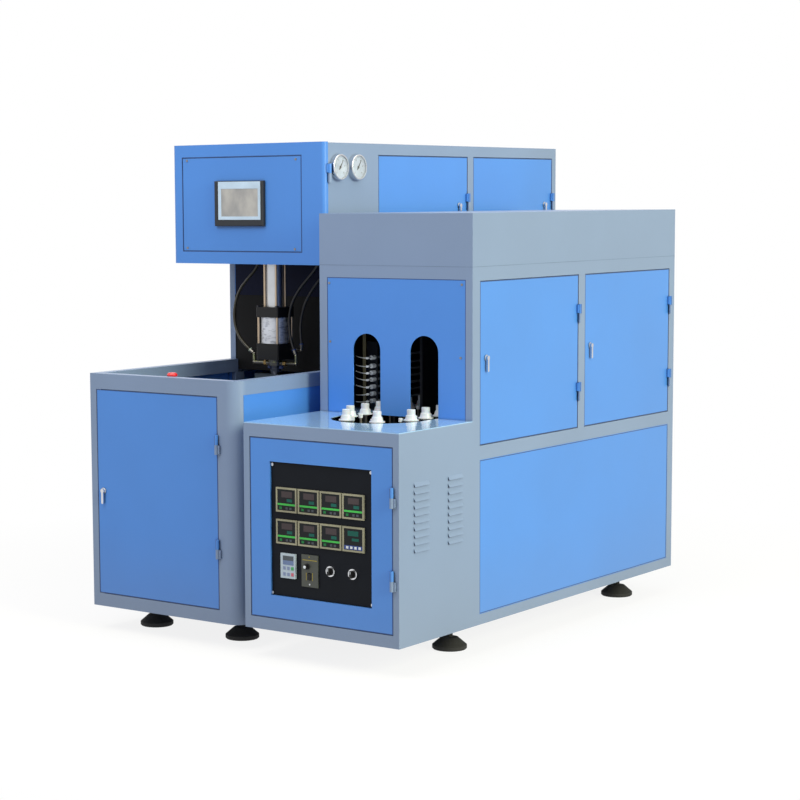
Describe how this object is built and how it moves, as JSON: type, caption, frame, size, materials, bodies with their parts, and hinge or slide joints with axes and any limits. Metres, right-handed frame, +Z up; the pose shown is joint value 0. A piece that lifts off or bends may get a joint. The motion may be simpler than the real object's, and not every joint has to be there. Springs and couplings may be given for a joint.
{
  "type": "blow moulding machine",
  "caption": "Bottle blow moulding machine: a blowing unit with clamp, cylinder head and doors, beside an infrared preform heater with a mandrel chain.",
  "frame": {"origin": "centre of the whole footprint at floor level", "axes": "+Z up, -Y towards the operator, +X to the operator's right where the heater stands"},
  "size_m": [1.5294, 2.3504, 1.89],
  "materials": {
    "blue_paint": "satin powder coat",
    "grey_paint": "satin powder coat",
    "dark_steel": "dark painted sheet",
    "desk_blue": "glossy light blue enamel",
    "black_panel": "matt black",
    "black_plastic": "moulded black",
    "dark_plastic": "moulded dark grey",
    "light_plastic": "moulded light grey",
    "white_plastic": "turned white plastic",
    "red_plastic": "moulded red",
    "chrome": "polished",
    "brushed": "ground",
    "aluminium": "anodised",
    "tan_rods": "plated",
    "cast": "painted casting",
    "hose": "black hose",
    "black_metal": "black anodised",
    "rubber": "moulded black",
    "quartz": "clear tube"
  },
  "bodies": {
    "machine": {"blow_frame": "grey_paint", "blow_panels": "blue_paint", "well_back_plate": "dark_steel", "pressure_gauges": "chrome", "levelling_feet": "rubber", "stretch_cylinder": "aluminium", "seal_cylinder": "aluminium", "cylinder_caps": "black_metal", "cylinder_tie_rods": "tan_rods", "air_manifold": "aluminium", "hose_left": "hose", "hose_right": "hose", "hose_rear": "hose", "clamp_plates": "blue_paint", "tie_bars": "chrome", "mould_front": "brushed", "clamp_cylinder": "cast", "heater_frame": "grey_paint", "oven_hood": "grey_paint", "top_plate": "desk_blue", "oven_front_panel": "blue_paint", "heater_panels": "blue_paint", "mandrel_chain": "brushed", "mandrel_heads": "white_plastic", "chain_deck": "dark_steel", "drive_motor": "cast", "oven_lamps": "quartz", "oven_reflectors": "aluminium"},
    "front_door": {"front_door": "blue_paint"},
    "front_latch": {"front_latch": "chrome"},
    "head_cover": {"head_cover": "blue_paint", "head_plate": "blue_paint", "operator_panel": "dark_plastic"},
    "upper_door_front": {"upper_door_front": "blue_paint"},
    "upper_door_rear": {"upper_door_rear": "blue_paint"},
    "upper_latch_front": {"upper_latch_front": "chrome"},
    "upper_latch_rear": {"upper_latch_rear": "chrome"},
    "gauge_needle_blow": {"gauge_needle_blow": "black_plastic"},
    "gauge_needle_supply": {"gauge_needle_supply": "black_plastic"},
    "stop_button": {"stop_button": "red_plastic"},
    "blow_nozzle": {"seal_piston": "brushed"},
    "stretch_rod": {"stretch_rod": "chrome"},
    "clamp": {"moving_platen": "blue_paint", "mould_rear": "brushed", "clamp_rod": "chrome"},
    "mould_base": {"mould_base": "brushed"},
    "control_door": {"control_door": "blue_paint", "control_panel": "black_panel", "temperature_controllers": "light_plastic", "drive_controls": "light_plastic"},
    "speed_knob": {"speed_knob": "black_plastic"},
    "rocker_switch": {"rocker_switch": "black_plastic"},
    "selector_knob_left": {"selector_knob_left": "black_plastic"},
    "selector_knob_right": {"selector_knob_right": "black_plastic"},
    "oven_door_front": {"oven_door_front": "blue_paint"},
    "oven_door_rear": {"oven_door_rear": "blue_paint"},
    "oven_latch_front": {"oven_latch_front": "chrome"},
    "oven_latch_rear": {"oven_latch_rear": "chrome"},
    "chain_wheel_front": {"chain_wheel_front": "brushed"},
    "chain_wheel_rear": {"chain_wheel_rear": "brushed"}
  },
  "joints": [
    {"name": "front_door_hinge", "type": "hinge", "parent": "machine", "child": "front_door", "pos_m": [-0.0977, -1.1202, 0.769], "axis": [0, 0, 1], "range_deg": [0, 110]},
    {"name": "front_latch_turn", "type": "hinge", "parent": "front_door", "child": "front_latch", "pos_m": [-0.6727, -1.1128, 0.552], "axis": [0, 1, 0], "range_deg": [0, 90]},
    {"name": "head_cover_hinge", "type": "hinge", "parent": "machine", "child": "head_cover", "pos_m": [0.0087, -0.5458, 1.77], "axis": [0, 0, 1], "range_deg": [0, 88]},
    {"name": "upper_door_front_hinge", "type": "hinge", "parent": "machine", "child": "upper_door_front", "pos_m": [0.0067, 0.4442, 1.654], "axis": [0, 0, 1], "range_deg": [0, 4]},
    {"name": "upper_latch_front_turn", "type": "hinge", "parent": "upper_door_front", "child": "upper_latch_front", "pos_m": [-0.0007, 0.3792, 1.64], "axis": [1, 0, 0], "range_deg": [0, 90]},
    {"name": "upper_door_rear_hinge", "type": "hinge", "parent": "machine", "child": "upper_door_rear", "pos_m": [0.0067, 1.1422, 1.654], "axis": [0, 0, 1], "range_deg": [0, 4]},
    {"name": "upper_latch_rear_turn", "type": "hinge", "parent": "upper_door_rear", "child": "upper_latch_rear", "pos_m": [-0.0007, 1.0772, 1.64], "axis": [1, 0, 0], "range_deg": [0, 90]},
    {"name": "gauge_needle_blow_turn", "type": "hinge", "parent": "machine", "child": "gauge_needle_blow", "pos_m": [0.0213, -0.4848, 1.793], "axis": [-1, 0, 0], "range_deg": [0, 180]},
    {"name": "gauge_needle_supply_turn", "type": "hinge", "parent": "machine", "child": "gauge_needle_supply", "pos_m": [0.0213, -0.3658, 1.793], "axis": [-1, 0, 0], "range_deg": [0, 180]},
    {"name": "stop_button_press", "type": "slide", "parent": "machine", "child": "stop_button", "axis": [0, 0, -1], "range_m": [0, 0.004], "stiffness_N_per_m": 800},
    {"name": "nozzle_stroke", "type": "slide", "parent": "machine", "child": "blow_nozzle", "axis": [0, 0, -1], "range_m": [0, 0.05]},
    {"name": "stretch_stroke", "type": "slide", "parent": "machine", "child": "stretch_rod", "axis": [0, 0, -1], "range_m": [0, 0.3]},
    {"name": "clamp_slide", "type": "slide", "parent": "machine", "child": "clamp", "axis": [0, 1, 0], "range_m": [0, 0.26]},
    {"name": "mould_base_drop", "type": "slide", "parent": "machine", "child": "mould_base", "axis": [0, 0, -1], "range_m": [0, 0.05]},
    {"name": "control_door_hinge", "type": "hinge", "parent": "machine", "child": "control_door", "pos_m": [0.7243, -1.1682, 0.642], "axis": [0, 0, 1], "range_deg": [0, 110]},
    {"name": "speed_knob_turn", "type": "hinge", "parent": "control_door", "child": "speed_knob", "pos_m": [0.3478, -1.1508, 0.363], "axis": [0, 1, 0], "range_deg": [0, 270]},
    {"name": "rocker_tilt", "type": "hinge", "parent": "control_door", "child": "rocker_switch", "pos_m": [0.3578, -1.1528, 0.327], "axis": [1, 0, 0], "range_deg": [-12, 12]},
    {"name": "selector_left_turn", "type": "hinge", "parent": "control_door", "child": "selector_knob_left", "pos_m": [0.4518, -1.1508, 0.356], "axis": [0, 1, 0], "range_deg": [-45, 45]},
    {"name": "selector_right_turn", "type": "hinge", "parent": "control_door", "child": "selector_knob_right", "pos_m": [0.5493, -1.1508, 0.356], "axis": [0, 1, 0], "range_deg": [-45, 45]},
    {"name": "oven_door_front_hinge", "type": "hinge", "parent": "machine", "child": "oven_door_front", "pos_m": [0.7577, 0.0702, 1.222], "axis": [0, 0, 1], "range_deg": [0, 110]},
    {"name": "oven_latch_front_turn", "type": "hinge", "parent": "oven_door_front", "child": "oven_latch_front", "pos_m": [0.7503, -0.5998, 1.092], "axis": [1, 0, 0], "range_deg": [0, 90]},
    {"name": "oven_door_rear_hinge", "type": "hinge", "parent": "machine", "child": "oven_door_rear", "pos_m": [0.7577, 0.8262, 1.222], "axis": [0, 0, 1], "range_deg": [0, 110]},
    {"name": "oven_latch_rear_turn", "type": "hinge", "parent": "oven_door_rear", "child": "oven_latch_rear", "pos_m": [0.7503, 0.1632, 1.092], "axis": [1, 0, 0], "range_deg": [0, 90]},
    {"name": "chain_wheel_rear_turn", "type": "hinge", "parent": "machine", "child": "chain_wheel_rear", "pos_m": [0.4113, 0.64195, 0.806], "axis": [0, 0, 1], "continuous": true},
    {"name": "chain_wheel_front_turn", "type": "hinge", "parent": "machine", "child": "chain_wheel_front", "pos_m": [0.4113, -0.7868, 0.806], "axis": [0, 0, 1], "continuous": true}
  ],
  "couplings": [
    {"joint": "chain_wheel_front_turn", "follows": "chain_wheel_rear_turn", "ratio": 1}
  ]
}
